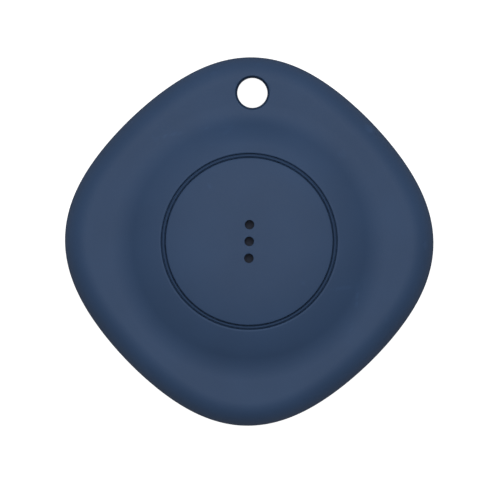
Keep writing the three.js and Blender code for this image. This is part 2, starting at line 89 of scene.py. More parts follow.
# The rounded rims of the front and the back
RIM_WALL = 1.25
RIM_WIDTH = 2.5
RIM_FOOT = 4.2
BACK_WIDTH = 5.5
BACK_RISE = 3.0
BACK_FLOOR = 1.1

# The dome is steepest at DOME_STEEP and meets the flange at DOME_FOOT
DOME_STEEP = 12.3
DOME_FOOT = 14.8
DOME_POWER = 2.9

# The dip round the key-ring hole, which fades over DIP_SPREAD radians to each side
HOLE_DIP = 0.6
DIP_START = 10.4
DIP_END = 13.6
DIP_SPREAD = 0.42

# The tongue and its snap beads, and the seal grooves
TONGUE_FACE = 1.55
TONGUE_BACK = 2.1
BEAD_ANGLES = (0, 45, 135, 180, 225, 270, 315)
BEAD_HALF_WIDTH = 1.2
GROOVE_OUTER = 0.45
GROOVE_INNER = 0.85
GROOVE_DEPTH = 0.2
SLEEVE_GROOVE_INNER = 1.85
SLEEVE_GROOVE_OUTER = 2.3

# The key-ring hole, the button opening and the screws
HOLE_RADIUS = 1.6
HOLE_LIP = 0.22
HOLE_LIP_DEPTH = 0.75
SLEEVE_RADIUS = 2.55
OPENING_RADIUS = 9.32
SEAT_HEIGHT = 7.25
SEAT_RADIUS = 11
SCREW_CIRCLE = 14.1
SCREW_ANGLES = (45, 135, 225, 315)
BOSS_RADIUS = 1.35
EAR_BOTTOM = 2.8
EAR_TOP = 3.4
EAR_RADIUS = 1.5
PILOT_RADIUS = 0.72

# Sides of the round shapes
CASE_STEPS = 360
BUTTON_STEPS = 256
ROUND_STEPS = 192
SMALL_STEPS = 64
TINY_STEPS = 32

SHARP_ANGLE = math.radians(40)


# ---- meshes ----------------------------------------------------------------------------------

def outline_radius(angle):
    """The case outline: a circle pulled out at its four corners."""
    return (
        CORNER_RADIUS
        - CORNER_SWELL * (1 - math.cos(4 * angle))
        - CORNER_TRIM * (1 - math.cos(8 * angle))
    )


def rim(inset, z):
    """A ring a fixed way in from the outline."""
    return lambda angle: (outline_radius(angle) - inset, z)


def circle(radius, z):
    return lambda angle: (radius, z)


def axis(z):
    """A single point on the axis."""
    return z


def loft(name, rings, steps, centre=(0.0, 0.0)):
    """Skins rings into a closed mesh. They run outwards below, up the outside and inwards above."""
    verts, starts = [], []
    for ring in rings:
        starts.append(len(verts))
        if not callable(ring):
            verts.append((centre[0] * MM, centre[1] * MM, ring * MM))
            continue
        for step in range(steps):
            angle = 2 * math.pi * step / steps
            radius, z = ring(angle)
            x = centre[0] + radius * math.cos(angle)
            y = centre[1] + radius * math.sin(angle)
            verts.append((x * MM, y * MM, z * MM))
    closes = callable(rings[0])
    faces = []
    for i in range(len(rings) - (0 if closes else 1)):
        j = (i + 1) % len(rings)
        for step in range(steps):
            follow = (step + 1) % steps
            low = [starts[i] + step, starts[i] + follow] if callable(rings[i]) else [starts[i]]
            high = [starts[j] + follow, starts[j] + step] if callable(rings[j]) else [starts[j]]
            faces.append(low + high)
    mesh = bpy.data.meshes.new(name)
    mesh.from_pydata(verts, [], faces)
    return new_object(name, mesh)


def new_object(name, mesh):
    piece = bpy.data.objects.new(name, mesh)
    bpy.context.scene.collection.objects.link(piece)
    return piece


def rounded(corners, steps):
    """Turns profile corners (across, z, radius) into points, with an arc at each corner."""
    points = []
    for i, (across, z, radius) in enumerate(corners):
        here = Vector((across, z))
        if radius == 0:
            points.append(here)
            continue
        before = (Vector(corners[i - 1][:2]) - here).normalized()
        after = (Vector(corners[(i + 1) % len(corners)][:2]) - here).normalized()
        half = before.angle(after) / 2
        centre = here + (before + after).normalized() * radius / math.sin(half)
        first = here + before * radius / math.tan(half) - centre
        last = here + after * radius / math.tan(half) - centre
        for step in range(steps + 1):
            share = step / steps
            points.append(centre + (first * (1 - share) + last * share).normalized() * radius)
    return points


def turned(name, corners, steps=ROUND_STEPS, centre=(0.0, 0.0), arc=5):
    """A turned piece from profile corners (radius, z, rounding); a radius of 0 is on the axis."""
    rings = [axis(p.y) if p.x < 1e-9 else circle(p.x, p.y) for p in rounded(corners, arc)]
    return loft(name, rings, steps, centre)


def rim_loft(name, corners):
    """A piece that follows the outline, from profile corners (inset, z, rounding)."""
    return loft(name, [rim(p.x, p.y) for p in rounded(corners, 4)], CASE_STEPS)


def disc(name, radius, low, high, centre=(0.0, 0.0), steps=SMALL_STEPS):
    corners = [(0, low, 0), (radius, low, 0), (radius, high, 0), (0, high, 0)]
    return turned(name, corners, steps, centre)


def block(name, low, high, edge=0.0, segments=3, turn=0.0):
    """A box with rounded edges."""
    mesh = bpy.data.meshes.new(name)
    bm = bmesh.new()
    bmesh.ops.create_cube(bm, size=1)
    size, mid = Vector(high) - Vector(low), (Vector(high) + Vector(low)) / 2
    for vert in bm.verts:
        vert.co = Vector((vert.co.x * size.x, vert.co.y * size.y, vert.co.z * size.z)) + mid
    if edge:
        bmesh.ops.bevel(
            bm, geom=bm.edges[:], offset=edge, segments=segments, affect="EDGES", profile=0.5,
            clamp_overlap=True,
        )
    cosine, sine = math.cos(turn), math.sin(turn)
    for vert in bm.verts:
        x, y, z = vert.co
        vert.co = Vector((x * cosine - y * sine, x * sine + y * cosine, z)) * MM
    bm.to_mesh(mesh)
    bm.free()
    return new_object(name, mesh)


def keep_result(piece):
    """Replaces a piece's mesh by what its modifiers make of it."""
    graph = bpy.context.evaluated_depsgraph_get()
    mesh = bpy.data.meshes.new_from_object(piece.evaluated_get(graph))
    old = piece.data
    piece.modifiers.clear()
    piece.data = mesh
    bpy.data.meshes.remove(old)


def combine(piece, tool, operation):
    """Adds, cuts or intersects one closed mesh with another, and removes the tool."""
    modifier = piece.modifiers.new("combine", "BOOLEAN")
    modifier.solver = "MANIFOLD"
    modifier.operation = operation
    modifier.object = tool
    keep_result(piece)
    bpy.data.objects.remove(tool)
    return piece


def cut(piece, tool):
    return combine(piece, tool, "DIFFERENCE")


def join(piece, tool):
    return combine(piece, tool, "UNION")


def merge(name, pieces):
    """Puts pieces that don't touch into one mesh, keeping each one's materials."""
    bm = bmesh.new()
    mesh = bpy.data.meshes.new(name)
    for piece in pieces:
        offset = len(mesh.materials)
        for item in piece.data.materials:
            mesh.materials.append(item)
        before = len(bm.faces)
        bm.from_mesh(piece.data)
        bm.faces.ensure_lookup_table()
        for face in bm.faces[before:]:
            face.material_index += offset
        bpy.data.objects.remove(piece)
    bm.to_mesh(mesh)
    bm.free()
    return new_object(name, mesh)


def paint(piece, look):
    piece.data.materials.clear()
    piece.data.materials.append(look)
    return piece


def settle(piece, node, look=None):
    """Finishes a piece: smooth shading, its material, and the CAD node it stands for."""
    if look is not None:
        paint(piece, look)
    mesh = piece.data
    mesh.validate()
    mesh.polygons.foreach_set("use_smooth", [True] * len(mesh.polygons))
    mesh.set_sharp_from_angle(angle=SHARP_ANGLE)
    body = next(b for b, nodes in frame["record"]["behaviour"]["bodies"].items() if node in nodes)
    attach(piece, body)
    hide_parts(node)
    return piece


def on_circle(degrees, radius):
    turn = math.radians(degrees)
    return radius * math.cos(turn), radius * math.sin(turn)


# ---- materials -------------------------------------------------------------------------------

class Shader:
    """A node tree with one Principled shader, and short ways to add what feeds it."""

    def __init__(self, name, **constants):
        self.material = bpy.data.materials.new(name)
        self.material.use_nodes = True
        self.nodes = self.material.node_tree.nodes
        self.links = self.material.node_tree.links
        self.principled = self.nodes["Principled BSDF"]
        for socket, value in constants.items():
            self.principled.inputs[socket.replace("_", " ")].default_value = value
        self.place = self.nodes.new("ShaderNodeTexCoord").outputs["Object"]

    def noise(self, size_mm, detail=2.0, vector=None, stretch=None):
        """Noise with grains of a size in millimetres, finer along an axis that is stretched."""
        node = self.nodes.new("ShaderNodeTexNoise")
        node.inputs["Scale"].default_value = 1 / (size_mm * MM)
        node.inputs["Detail"].default_value = detail
        source = vector or self.place
        if stretch:
            mapping = self.nodes.new("ShaderNodeMapping")
            mapping.inputs["Scale"].default_value = stretch
            self.links.new(source, mapping.inputs["Vector"])
            source = mapping.outputs["Vector"]
        self.links.new(source, node.inputs["Vector"])
        return node.outputs["Fac"]

    def ramp(self, value, low, high, start=0.3, end=0.7):
        """Maps start to low and end to high, and holds them beyond."""
        node = self.nodes.new("ShaderNodeMapRange")
        node.inputs["From Min"].default_value = start
        node.inputs["From Max"].default_value = end
        node.inputs["To Min"].default_value = low
        node.inputs["To Max"].default_value = high
        self.links.new(value, node.inputs["Value"])
        return node.outputs["Result"]

    def times(self, first, second):
        node = self.nodes.new("ShaderNodeMath")
        node.operation = "MULTIPLY"
        self.links.new(first, node.inputs[0])
        self.links.new(second, node.inputs[1])
        return node.outputs["Value"]

    def mix(self, share, first, second):
        """Mixes two colours, each a tuple or a socket."""
        node = self.nodes.new("ShaderNodeMix")
        node.data_type = "RGBA"
        self.links.new(share, node.inputs["Factor"])
        for socket, value in ((node.inputs[6], first), (node.inputs[7], second)):
            if isinstance(value, tuple):
                socket.default_value = (*value, 1)
            else:
                self.links.new(value, socket)
        return node.outputs[2]

    def edges(self):
        """1 on outer edges and 0 on flats."""
        geometry = self.nodes.new("ShaderNodeNewGeometry")
        return self.ramp(geometry.outputs["Pointiness"], 0, 1, 0.52, 0.62)

    def around_axis(self):
        """A coordinate that is the distance from the Z axis, for turned marks."""
        flat = self.nodes.new("ShaderNodeVectorMath")
        flat.operation = "MULTIPLY"
        flat.inputs[1].default_value = (1, 1, 0)
        length = self.nodes.new("ShaderNodeVectorMath")
        length.operation = "LENGTH"
        self.links.new(self.place, flat.inputs[0])
        self.links.new(flat.outputs["Vector"], length.inputs[0])
        join_up = self.nodes.new("ShaderNodeCombineXYZ")
        self.links.new(length.outputs["Value"], join_up.inputs["X"])
        return join_up.outputs["Vector"]

    def color(self, socket):
        self.links.new(socket, self.principled.inputs["Base Color"])

    def roughness(self, socket):
        self.links.new(socket, self.principled.inputs["Roughness"])

    def bump(self, height, depth_mm, strength):
        """Adds a bump on top of any that is there already."""
        node = self.nodes.new("ShaderNodeBump")
        node.inputs["Distance"].default_value = depth_mm * MM
        node.inputs["Strength"].default_value = strength
        previous = self.principled.inputs["Normal"].links
        if previous:
            self.links.new(previous[0].from_socket, node.inputs["Normal"])
        self.links.new(height, node.inputs["Height"])
        self.links.new(node.outputs["Normal"], self.principled.inputs["Normal"])


def scaled(color, factor):
    return tuple(min(1.0, channel * factor) for channel in color)


def moulded(name, color, roughness, grain_mm=0.09, depth_mm=0.004, wear=0.25, **constants):
    """Moulded plastic or rubber: spark-eroded grain, slow colour drift and rubbed edges."""
    look = Shader(name, **constants)
    slow = look.ramp(look.noise(7.0), 0, 1)
    base = look.mix(slow, scaled(color, 0.95), scaled(color, 1.05))
    rubbed = look.times(look.edges(), look.ramp(look.noise(1.6, 4.0), 0, wear, 0.4, 0.75))
    look.color(look.mix(rubbed, base, scaled(color, 1.9)))
    grain = look.noise(grain_mm, 3.0)
    look.roughness(look.ramp(grain, roughness - 0.05, roughness + 0.05))
    look.bump(grain, depth_mm, 0.5)
    look.bump(look.noise(1.1, 1.0), 0.006, 0.25)
    return look.material


def metal(name, color, roughness, turned_marks=False, stretch=(1, 12, 12)):
    """Plated or rolled metal with fine directional marks, faint stains and scuffs."""
    look = Shader(name, Metallic=1.0)
    stain = look.ramp(look.noise(2.4, 3.0), 0, 1)
    look.color(look.mix(stain, scaled(color, 0.88), scaled(color, 1.05)))
    if turned_marks:
        marks = look.noise(0.07, 2.0, vector=look.around_axis())
    else:
        marks = look.noise(0.9, 3.0, stretch=stretch)
    look.roughness(look.ramp(marks, roughness - 0.07, roughness + 0.1))
    look.bump(marks, 0.003, 0.5)
    look.bump(look.noise(0.5, 2.0), 0.004, 0.2)
    return look.material


NAVY = (0.0185, 0.0435, 0.0985)
NAVY_ROUGHNESS = 0.72
NAVY_SHINE = 0.34
SHELL_LOOK = moulded("shell_plastic", NAVY, NAVY_ROUGHNESS, Specular_IOR_Level=NAVY_SHINE)
BUTTON_LOOK = moulded("button_plastic", NAVY, NAVY_ROUGHNESS, Specular_IOR_Level=NAVY_SHINE)
MEMBRANE_LOOK = moulded(
    "membrane_silicone", scaled(NAVY, 0.8), 0.7, grain_mm=0.05, wear=0.05, Specular_IOR_Level=0.19
)
SEAL_LOOK = moulded("seal_silicone", (0.012, 0.012, 0.014), 0.62, grain_mm=0.06, wear=0.1)
BLACK_LOOK = moulded("black_plastic", (0.016, 0.017, 0.019), 0.5, grain_mm=0.12, wear=0.35)
NATURAL_LOOK = moulded("acetal_plastic", (0.72, 0.7, 0.63), 0.42, wear=0.05, Subsurface_Weight=0.15)
EPOXY_LOOK = moulded("chip_epoxy", (0.014, 0.014, 0.015), 0.55, grain_mm=0.05, wear=0.2)
CERAMIC_LOOK = moulded("fired_ceramic", (0.72, 0.69, 0.6), 0.5, grain_mm=0.05, wear=0.1)
TAN_LOOK = moulded("capacitor_ceramic", (0.42, 0.25, 0.13), 0.45, grain_mm=0.05, wear=0.1)
PASTE_LOOK = moulded("cell_paste", (0.02, 0.02, 0.021), 0.9, grain_mm=0.08, depth_mm=0.02, wear=0.1)
FOAM_LOOK = moulded("pad_foam", (0.02, 0.021, 0.024), 0.95, grain_mm=0.14, depth_mm=0.05, wear=0.0)
NICKEL_LOOK = metal("nickel_plate", (0.66, 0.64, 0.6), 0.28)
SOLDER_LOOK = metal("tin_solder", (0.72, 0.72, 0.72), 0.32, stretch=(1, 1, 1))
RED_LOOK = moulded("red_insulation", (0.3, 0.012, 0.012), 0.45, grain_mm=0.05, wear=0.05)
WIRE_LOOK = moulded("black_insulation", (0.013, 0.013, 0.014), 0.45, grain_mm=0.05, wear=0.05)
BRASS_LOOK = metal("piezo_brass", (0.8, 0.6, 0.28), 0.3, stretch=(12, 1, 12))
SILVER_LOOK = metal("silver_paint", (0.78, 0.77, 0.74), 0.45, stretch=(1, 1, 1))
CAN_LOOK = metal("cell_can_steel", (0.63, 0.62, 0.6), 0.24, turned_marks=True)
CAP_LOOK = metal("cell_cap_steel", (0.68, 0.67, 0.65), 0.22, turned_marks=True)


def board_look():
    """Green solder mask over a pour of copper, cut by thin gaps."""
    look = Shader("solder_mask", Coat_Weight=0.3, Coat_Roughness=0.15)
    cells = look.nodes.new("ShaderNodeTexVoronoi")
    cells.feature = "DISTANCE_TO_EDGE"
    cells.inputs["Scale"].default_value = 1 / (1.9 * MM)
    look.links.new(look.place, cells.inputs["Vector"])
    copper = look.ramp(cells.outputs["Distance"], 0, 1, 0.05, 0.075)
    look.color(look.mix(copper, (0.006, 0.05, 0.024), (0.012, 0.115, 0.05)))
    look.roughness(look.ramp(look.noise(0.6, 3.0), 0.28, 0.42))
    look.bump(copper, 0.03, 0.7)
    return look.material


def cloth_look():
    """A fine black woven mesh: warp and weft stripes lift each other in turn."""
    look = Shader("acoustic_cloth", Roughness=0.8)
    pitch = 0.11 * MM
    threads = []
    for direction in ("X", "Y"):
        wave = look.nodes.new("ShaderNodeTexWave")
        wave.bands_direction = direction
        wave.inputs["Scale"].default_value = 2 / (pitch * math.tau)
        look.links.new(look.place, wave.inputs["Vector"])
        threads.append(wave.outputs["Fac"])
    weave = look.times(*threads)
    look.color(look.mix(weave, (0.006, 0.009, 0.02), (0.022, 0.029, 0.05)))
    look.bump(weave, 0.03, 0.8)
    return look.material


BOARD_LOOK = board_look()
CLOTH_LOOK = cloth_look()


# ---- case ------------------------------------------------------------------------------------

STEEP_DROP = DOME_STEEP / DOME_POWER
FOOT_DROP = (DOME_FOOT - DOME_STEEP) / 2
STEEPEST = (HEIGHT - FLANGE_TOP) / (STEEP_DROP + FOOT_DROP)


def dome_height(radius):
    """The front face's height, which falls outwards from the middle of the button."""
    if radius <= DOME_STEEP:
        return HEIGHT - STEEPEST * STEEP_DROP * (radius / DOME_STEEP) ** DOME_POWER
    left = max(DOME_FOOT - radius, 0) / (DOME_FOOT - DOME_STEEP)
    return FLANGE_TOP + STEEPEST * FOOT_DROP * left ** 2


def smooth(value, start, end):
    """Eases from 0 at the start to 1 at the end."""
    share = min(max((value - start) / (end - start), 0), 1)
    return share ** 2 * (3 - 2 * share)


def hole_dip(angle):
    """How far the front sinks round the key-ring hole."""
    return HOLE_DIP * math.exp(-(((angle - math.pi / 2) / DIP_SPREAD) ** 2))


def dome_ring(radius):
    """A round ring of the front face, outside the button."""
    share = smooth(radius, DIP_START, DIP_END)
    return lambda angle: (radius, dome_height(radius) - share * hole_dip(angle))


def rim_ring(turn):
    """A ring of the front's rounded rim; turn runs from 0 at the side to a right angle on top."""
    inset, rise = RIM_WIDTH * (1 - math.cos(turn)), math.sin(turn)
    z = RIM_FOOT + (FLANGE_TOP - RIM_FOOT) * rise
    return lambda angle: (outline_radius(angle) - inset, z - rise * hole_dip(angle))


def inset_at(x, y):
    """How far a point lies in from the outline."""
    return outline_radius(math.atan2(y, x)) - math.hypot(x, y)


def front_height(x, y):
    """Height of the front face over a point outside the button."""
    radius, angle = math.hypot(x, y), math.atan2(y, x)
    across = min(max((RIM_WIDTH - inset_at(x, y)) / RIM_WIDTH, 0), 1)
    rise = math.sqrt(1 - across * across)
    dip = hole_dip(angle) * smooth(radius, DIP_START, DIP_END) * rise
    return dome_height(radius) - (FLANGE_TOP - RIM_FOOT) * (1 - rise) - dip


def back_height(x, y):
    """Height of the back's rounded rim over a point."""
    slope = min(max((BACK_WIDTH - inset_at(x, y)) / BACK_WIDTH, 0), 1)
    return BACK_RISE * (1 - math.sqrt(1 - slope * slope))


def hole_drill(surface, upward):
    """A cutter for the key-ring hole, which widens in a steep lip towards the surface."""
    sign = 1 if upward else -1
    spill = 0.2
    wide = HOLE_RADIUS + HOLE_LIP + spill

    def mouth(across, drop):
        reach = HOLE_RADIUS + across

        def ring(angle):
            x, y = reach * math.cos(angle), HOLE_Y + reach * math.sin(angle)
            return reach, surface(x, y) - sign * drop

        return ring

    lip = rounded([
        (-0.1, HOLE_LIP_DEPTH + 0.5, 0), (0, HOLE_LIP_DEPTH, 0.1), (HOLE_LIP, 0, 0.06),
        (HOLE_LIP + spill, -0.02, 0),
    ], 4)
    rings = [mouth(p.x, p.y) for p in lip[1:]]
    low_radius, high_radius = HOLE_RADIUS, wide
    if not upward:
        rings.reverse()
        low_radius, high_radius = wide, HOLE_RADIUS
    rings = [axis(-1), circle(low_radius, -1), *rings, circle(high_radius, HEIGHT), axis(HEIGHT)]
    return loft("hole_drill", rings, 96, (0, HOLE_Y))


def arc_rings(count, ring):
    """Rings at even steps over a quarter turn."""
    return [ring(math.pi / 2 * step / count) for step in range(count + 1)]


def front_blank():
    """The front shell before it is hollowed."""
    edge = rounded([(RIM_WALL, SEAM_HIGH, 0), (0, SEAM_HIGH, 0.14), (0, RIM_FOOT, 0)], 4)
    rims = arc_rings(26, rim_ring)
    shoulder = OPENING_RADIUS + 0.3
    count = 64
    dome = []
    for step in range(count + 1):
        radius = DOME_FOOT + (shoulder - DOME_FOOT) * step / count
        dome.append(dome_ring(radius))
    mouth = rounded([
        (shoulder, dome_height(shoulder), 0),
        (OPENING_RADIUS, dome_height(OPENING_RADIUS), 0.16),
        (OPENING_RADIUS, SEAM_HIGH, 0),
    ], 6)
    rings = [circle(OPENING_RADIUS, SEAM_HIGH)]
    rings += [rim(p.x, p.y) for p in edge]
    rings += rims[1:] + dome
    rings += [circle(p.x, p.y) for p in mouth[1:-1]]
    return loft("front_shell_case", rings, CASE_STEPS)


def front_cavity():
    """The hollow of the front shell, less the sleeve and the screw bosses."""
    wall = rounded([
        (RIM_WALL, SEAM_HIGH - 1, 0), (RIM_WALL, 5.1, 0.7), (RIM_WALL + 1.75, CEILING, 0.8),
        (5, CEILING, 0),
    ], 8)
    rings = [axis(SEAM_HIGH - 1)]
    rings += [rim(p.x, p.y) for p in wall[:-1]]
    for radius, lift in ((14.6, 0), (13.4, 0.1), (12.5, 0.55), (12.1, 1)):
        rings.append(circle(radius, CEILING + lift))
    rings += [circle(SEAT_RADIUS, SEAT_HEIGHT), axis(SEAT_HEIGHT)]
    cavity = loft("front_cavity", rings, CASE_STEPS)
    cut(cavity, disc("sleeve", SLEEVE_RADIUS, SEAM_LOW - 2, CEILING + 0.4, (0, HOLE_Y)))
    for degrees in SCREW_ANGLES:
        cut(cavity, boss(degrees))
    return cavity


def boss(degrees):
    spot = on_circle(degrees, SCREW_CIRCLE)
    return disc("boss", BOSS_RADIUS, EAR_TOP + 0.05, CEILING + 0.4, spot)


def rim_groove(low, high):
    return rim_loft("groove", [
        (GROOVE_INNER, low, 0), (GROOVE_OUTER, low, 0),
        (GROOVE_OUTER, high, 0), (GROOVE_INNER, high, 0),
    ])


def hole_groove(low, high):
    return turned("hole_groove", [
        (SLEEVE_GROOVE_INNER, low, 0), (SLEEVE_GROOVE_OUTER, low, 0),
        (SLEEVE_GROOVE_OUTER, high, 0), (SLEEVE_GROOVE_INNER, high, 0),
    ], SMALL_STEPS, (0, HOLE_Y))


def front_shell():
    shell = cut(front_blank(), front_cavity())
    cut(shell, hole_drill(front_height, True))
    pilot_top = span("carrier_screw_1")[1].z + 0.1
    for degrees in SCREW_ANGLES:
        spot = on_circle(degrees, SCREW_CIRCLE)
        join(shell, boss(degrees))
        cut(shell, disc("pilot", PILOT_RADIUS, EAR_BOTTOM, pilot_top, spot, TINY_STEPS))
    cut(shell, rim_groove(SEAM_HIGH - 1, SEAM_HIGH + GROOVE_DEPTH))
    cut(shell, hole_groove(SEAM_HIGH - 1, SEAM_HIGH + GROOVE_DEPTH))
    settle(shell, "front_shell", SHELL_LOOK)


def tongue():
    """The rear cover's tongue with its snap beads, open where the sleeve stands."""
    top = TONGUE_TOP
    sweep = rim_loft("tongue", [
        (TONGUE_BACK, SEAM_LOW - 0.3, 0), (TONGUE_FACE, SEAM_LOW - 0.3, 0),
        (TONGUE_FACE, top, 0.14), (TONGUE_BACK, top, 0.14),
    ])
    for degrees in BEAD_ANGLES:
        bead = rim_loft("bead", [
            (TONGUE_FACE + 0.1, top - 0.5, 0), (TONGUE_FACE - 0.2, top - 0.32, 0.06),
            (TONGUE_FACE + 0.1, top - 0.14, 0),
        ])
        low, high = (10, -BEAD_HALF_WIDTH, SEAM_LOW), (20, BEAD_HALF_WIDTH, HEIGHT)
        window = block("window", low, high, turn=math.radians(degrees))
        join(sweep, combine(bead, window, "INTERSECT"))
    return cut(sweep, disc("sleeve_room", SLEEVE_RADIUS + 0.3, SEAM_LOW, HEIGHT, (0, HOLE_Y)))


def rear_cover():
    back = arc_rings(
        30, lambda a: rim(BACK_WIDTH * (1 - math.sin(a)), BACK_RISE * (1 - math.cos(a)))
    )
    edge = rounded([(0, BACK_RISE, 0), (0, SEAM_LOW, 0.14), (RIM_WALL, SEAM_LOW, 0)], 4)
    flat = [rim(inset, 0) for inset in (14, 11, 8)]
    rings = [axis(0), *flat, *back, *[rim(p.x, p.y) for p in edge[1:]], axis(SEAM_LOW)]
    cover = loft("rear_cover_case", rings, CASE_STEPS)
    floor = rounded([
        (9, BACK_FLOOR, 0), (3.9, BACK_FLOOR, 1.6),
        (TONGUE_BACK, 2.6, 0.8), (TONGUE_BACK, SEAM_LOW + 1, 0),
    ], 8)
    rings = [axis(BACK_FLOOR), *[rim(p.x, p.y) for p in floor], axis(SEAM_LOW + 1)]
    cavity = loft("rear_cavity", rings, CASE_STEPS)
    cut(cavity, disc("sleeve", SLEEVE_RADIUS, -1, SEAM_LOW + 2, (0, HOLE_Y)))
    cut(cover, cavity)
    join(cover, tongue())
    cut(cover, hole_drill(back_height, False))
    cut(cover, rim_groove(SEAM_LOW - GROOVE_DEPTH, SEAM_LOW + 0.05))
    cut(cover, hole_groove(SEAM_LOW - GROOVE_DEPTH, SEAM_LOW + 0.05))
    reach = outline_radius(-math.pi / 2)
    low, high = (-3, -reach - 1, SEAM_LOW - 0.6), (3, -reach + 0.35, SEAM_LOW + 1)
    cut(cover, block("nail_notch", low, high, 0.25))
    settle(cover, "rear_cover", SHELL_LOOK)


def seals():
    low, high = span("case_gasket")[0].z, span("case_gasket")[1].z
    inner, outer = GROOVE_INNER - 0.05, GROOVE_OUTER + 0.05
    corners = [(inner, low, 0.1), (outer, low, 0.1), (outer, high, 0.14), (inner, high, 0.14)]
    settle(rim_loft("case_gasket_ring", corners), "case_gasket", SEAL_LOOK)
    washer("eyelet_gasket", 1.9, 0.12, SEAL_LOOK)


def washer(node, inner, edge, look):
    """A ring or disc as wide and as tall as its CAD node; an inner radius of 0 is a disc."""
    low, high = span(node)
    outer, centre = (high.x - low.x) / 2, middle(node)
    inner_edge = edge if inner else 0
    corners = [
        (inner, low.z, inner_edge), (outer, low.z, edge),
        (outer, high.z, edge), (inner, high.z, inner_edge),
    ]
    ring = turned(f"{node}_part", corners, centre=(centre.x, centre.y))
    return settle(ring, node, look)


front_shell()
rear_cover()
seals()


# ---- button ----------------------------------------------------------------------------------

BUTTON_RADIUS = 8.86
SOUND_HOLE_RADIUS = 0.49
SOUND_HOLE_PITCH = 1.78
SOUND_HOLE_ROUND = 0.07

# Room between pieces that touch
GAP = 0.02


def button_blank():
    """The button before its sound holes: a domed top, stepped underneath, on a flanged skirt."""
    low, high = span("button_cap")
    under = span("acoustic_mesh")[1].z + GAP
    ledge = span("piezo_adhesive_ring")[1].z + GAP
    skirt, skirt_top = BUTTON_RADIUS - 0.9, span("button_actuator")[1].z
    foot, flange = low.z, high.x
    edge = BUTTON_RADIUS - 0.3
    corners = [
        (0, under, 0), (3.4, under, 0.3), (4.9, ledge, 0.3), (6.3, ledge, 0.3),
        (skirt, skirt_top, 0.3), (skirt, foot, 0.08), (flange, foot, 0.08),
        (flange, foot + 0.3, 0.08), (BUTTON_RADIUS, foot + 0.3, 0.12),
        (BUTTON_RADIUS, dome_height(BUTTON_RADIUS), 0.15), (edge, dome_height(edge), 0),
    ]
    rings = [axis(p.y) if p.x < 1e-9 else circle(p.x, p.y) for p in rounded(corners, 6)]
    count = 40
    for step in range(1, count):
        radius = edge * (1 - step / count)
        rings.append(circle(radius, min(dome_height(radius), high.z)))
    rings.append(axis(high.z))
    return loft("button_cap_part", rings, BUTTON_STEPS)


def sound_hole(y):
    """A cutter for a sound hole, whose mouth is rounded over."""
    bottom = span("acoustic_mesh")[1].z + GAP - 1
    top = min(dome_height(abs(y)), span("button_cap")[1].z)
    hole, mouth = SOUND_HOLE_RADIUS, SOUND_HOLE_ROUND
    wide = hole + 2 * mouth
    flare = rounded([(hole, bottom, 0), (hole, top, mouth), (wide, top + 0.03, 0)], 5)
    profile = [(0, bottom, 0)] + [(p.x, p.y, 0) for p in flare]
    profile += [(wide, top + 1, 0), (0, top + 1, 0)]
    return turned("sound_hole", profile, 48, (0, y))


def button_cap():
    cap = button_blank()
    for place in (-1, 0, 1):
        cut(cap, sound_hole(place * SOUND_HOLE_PITCH))
    settle(cap, "button_cap", BUTTON_LOOK)


def membrane():
    """The ring whose rib stands between the button and the shell, with a step on each side."""
    low, high = span("button_membrane")
    flange_top = SEAT_HEIGHT - 0.03
    clearance, step = 0.12, 0.08
    inner, outer = BUTTON_RADIUS + clearance, OPENING_RADIUS - clearance
    shoulder = high.z - 0.2
    ring = turned("button_membrane_part", [
        (inner - step, low.z, 0.03), (high.x, low.z, 0.06), (high.x, flange_top, 0.06),
        (outer + step, flange_top, 0), (outer + step, shoulder, 0.03), (outer, shoulder, 0.03),
        (outer, high.z, 0.1), (inner, high.z, 0.1), (inner, shoulder, 0.03),
        (inner - step, shoulder, 0.03),
    ], BUTTON_STEPS)
    settle(ring, "button_membrane", MEMBRANE_LOOK)


def actuator():
    """The bridge under the sounder: a bar with a channel along the middle of its top."""
    low, high = span("button_actuator")
    body = block("button_actuator_part", low, high, 0.08)
    channel_low = low + Vector((0.9, -1, 0.3))
    channel_high = high + Vector((-0.9, 1, 1))
    cut(body, block("channel", channel_low, channel_high, 0.1))
    settle(body, "button_actuator", NATURAL_LOOK)


button_cap()
membrane()
washer("membrane_retainer", span("button_cap")[1].x + 0.15, 0.08, BLACK_LOOK)
washer("acoustic_mesh", 0, 0.03, CLOTH_LOOK)
actuator()


# ---- switch ----------------------------------------------------------------------------------

def switch_case():
    low, high = span("tact_switch_body")
    body = block("tact_switch_body_part", low, high, 0.12)
    cut(body, disc("well", 1.55, low.z + 0.25, high.z + 1))
    settle(body, "tact_switch_body", BLACK_LOOK)
    low, high = span("tact_switch_cover")
    cover = block("tact_switch_cover_part", low, high, 0.03)
    cut(cover, disc("cover_hole", 1.1, low.z - 1, high.z + 1))
    settle(cover, "tact_switch_cover", NICKEL_LOOK)


def switch_dome():
    """The thin domed spring, skinned from its hollow underside to its top."""
    low, high = span("tact_switch_dome")
    thickness, rise = 0.06, 0.25
    shares = (0.0, 0.2, 0.4, 0.6, 0.8, 1.0)
    rings = []
    for drop, outwards in ((thickness, shares), (0.0, shares[::-1])):
        for share in outwards:
            z = high.z - drop - rise * share ** 2
            rings.append(circle(high.x * share, z) if share else axis(z))
    dome = loft("tact_switch_dome_part", rings, SMALL_STEPS)
    settle(dome, "tact_switch_dome", NICKEL_LOOK)
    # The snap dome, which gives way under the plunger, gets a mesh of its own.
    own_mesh(dome)


def switch_plunger():
    low, high = span("tact_switch_plunger")
    flange_top = low.z + 0.2
    plunger = turned("tact_switch_plunger_part", [
        (0, low.z, 0), (high.x, low.z, 0.05), (high.x, flange_top, 0.05), (1, flange_top, 0.04),
        (1, high.z, 0.12), (0, high.z, 0),
    ], SMALL_STEPS)
    settle(plunger, "tact_switch_plunger", BLACK_LOOK)


switch_case()
switch_dome()
switch_plunger()


# ---- board -----------------------------------------------------------------------------------

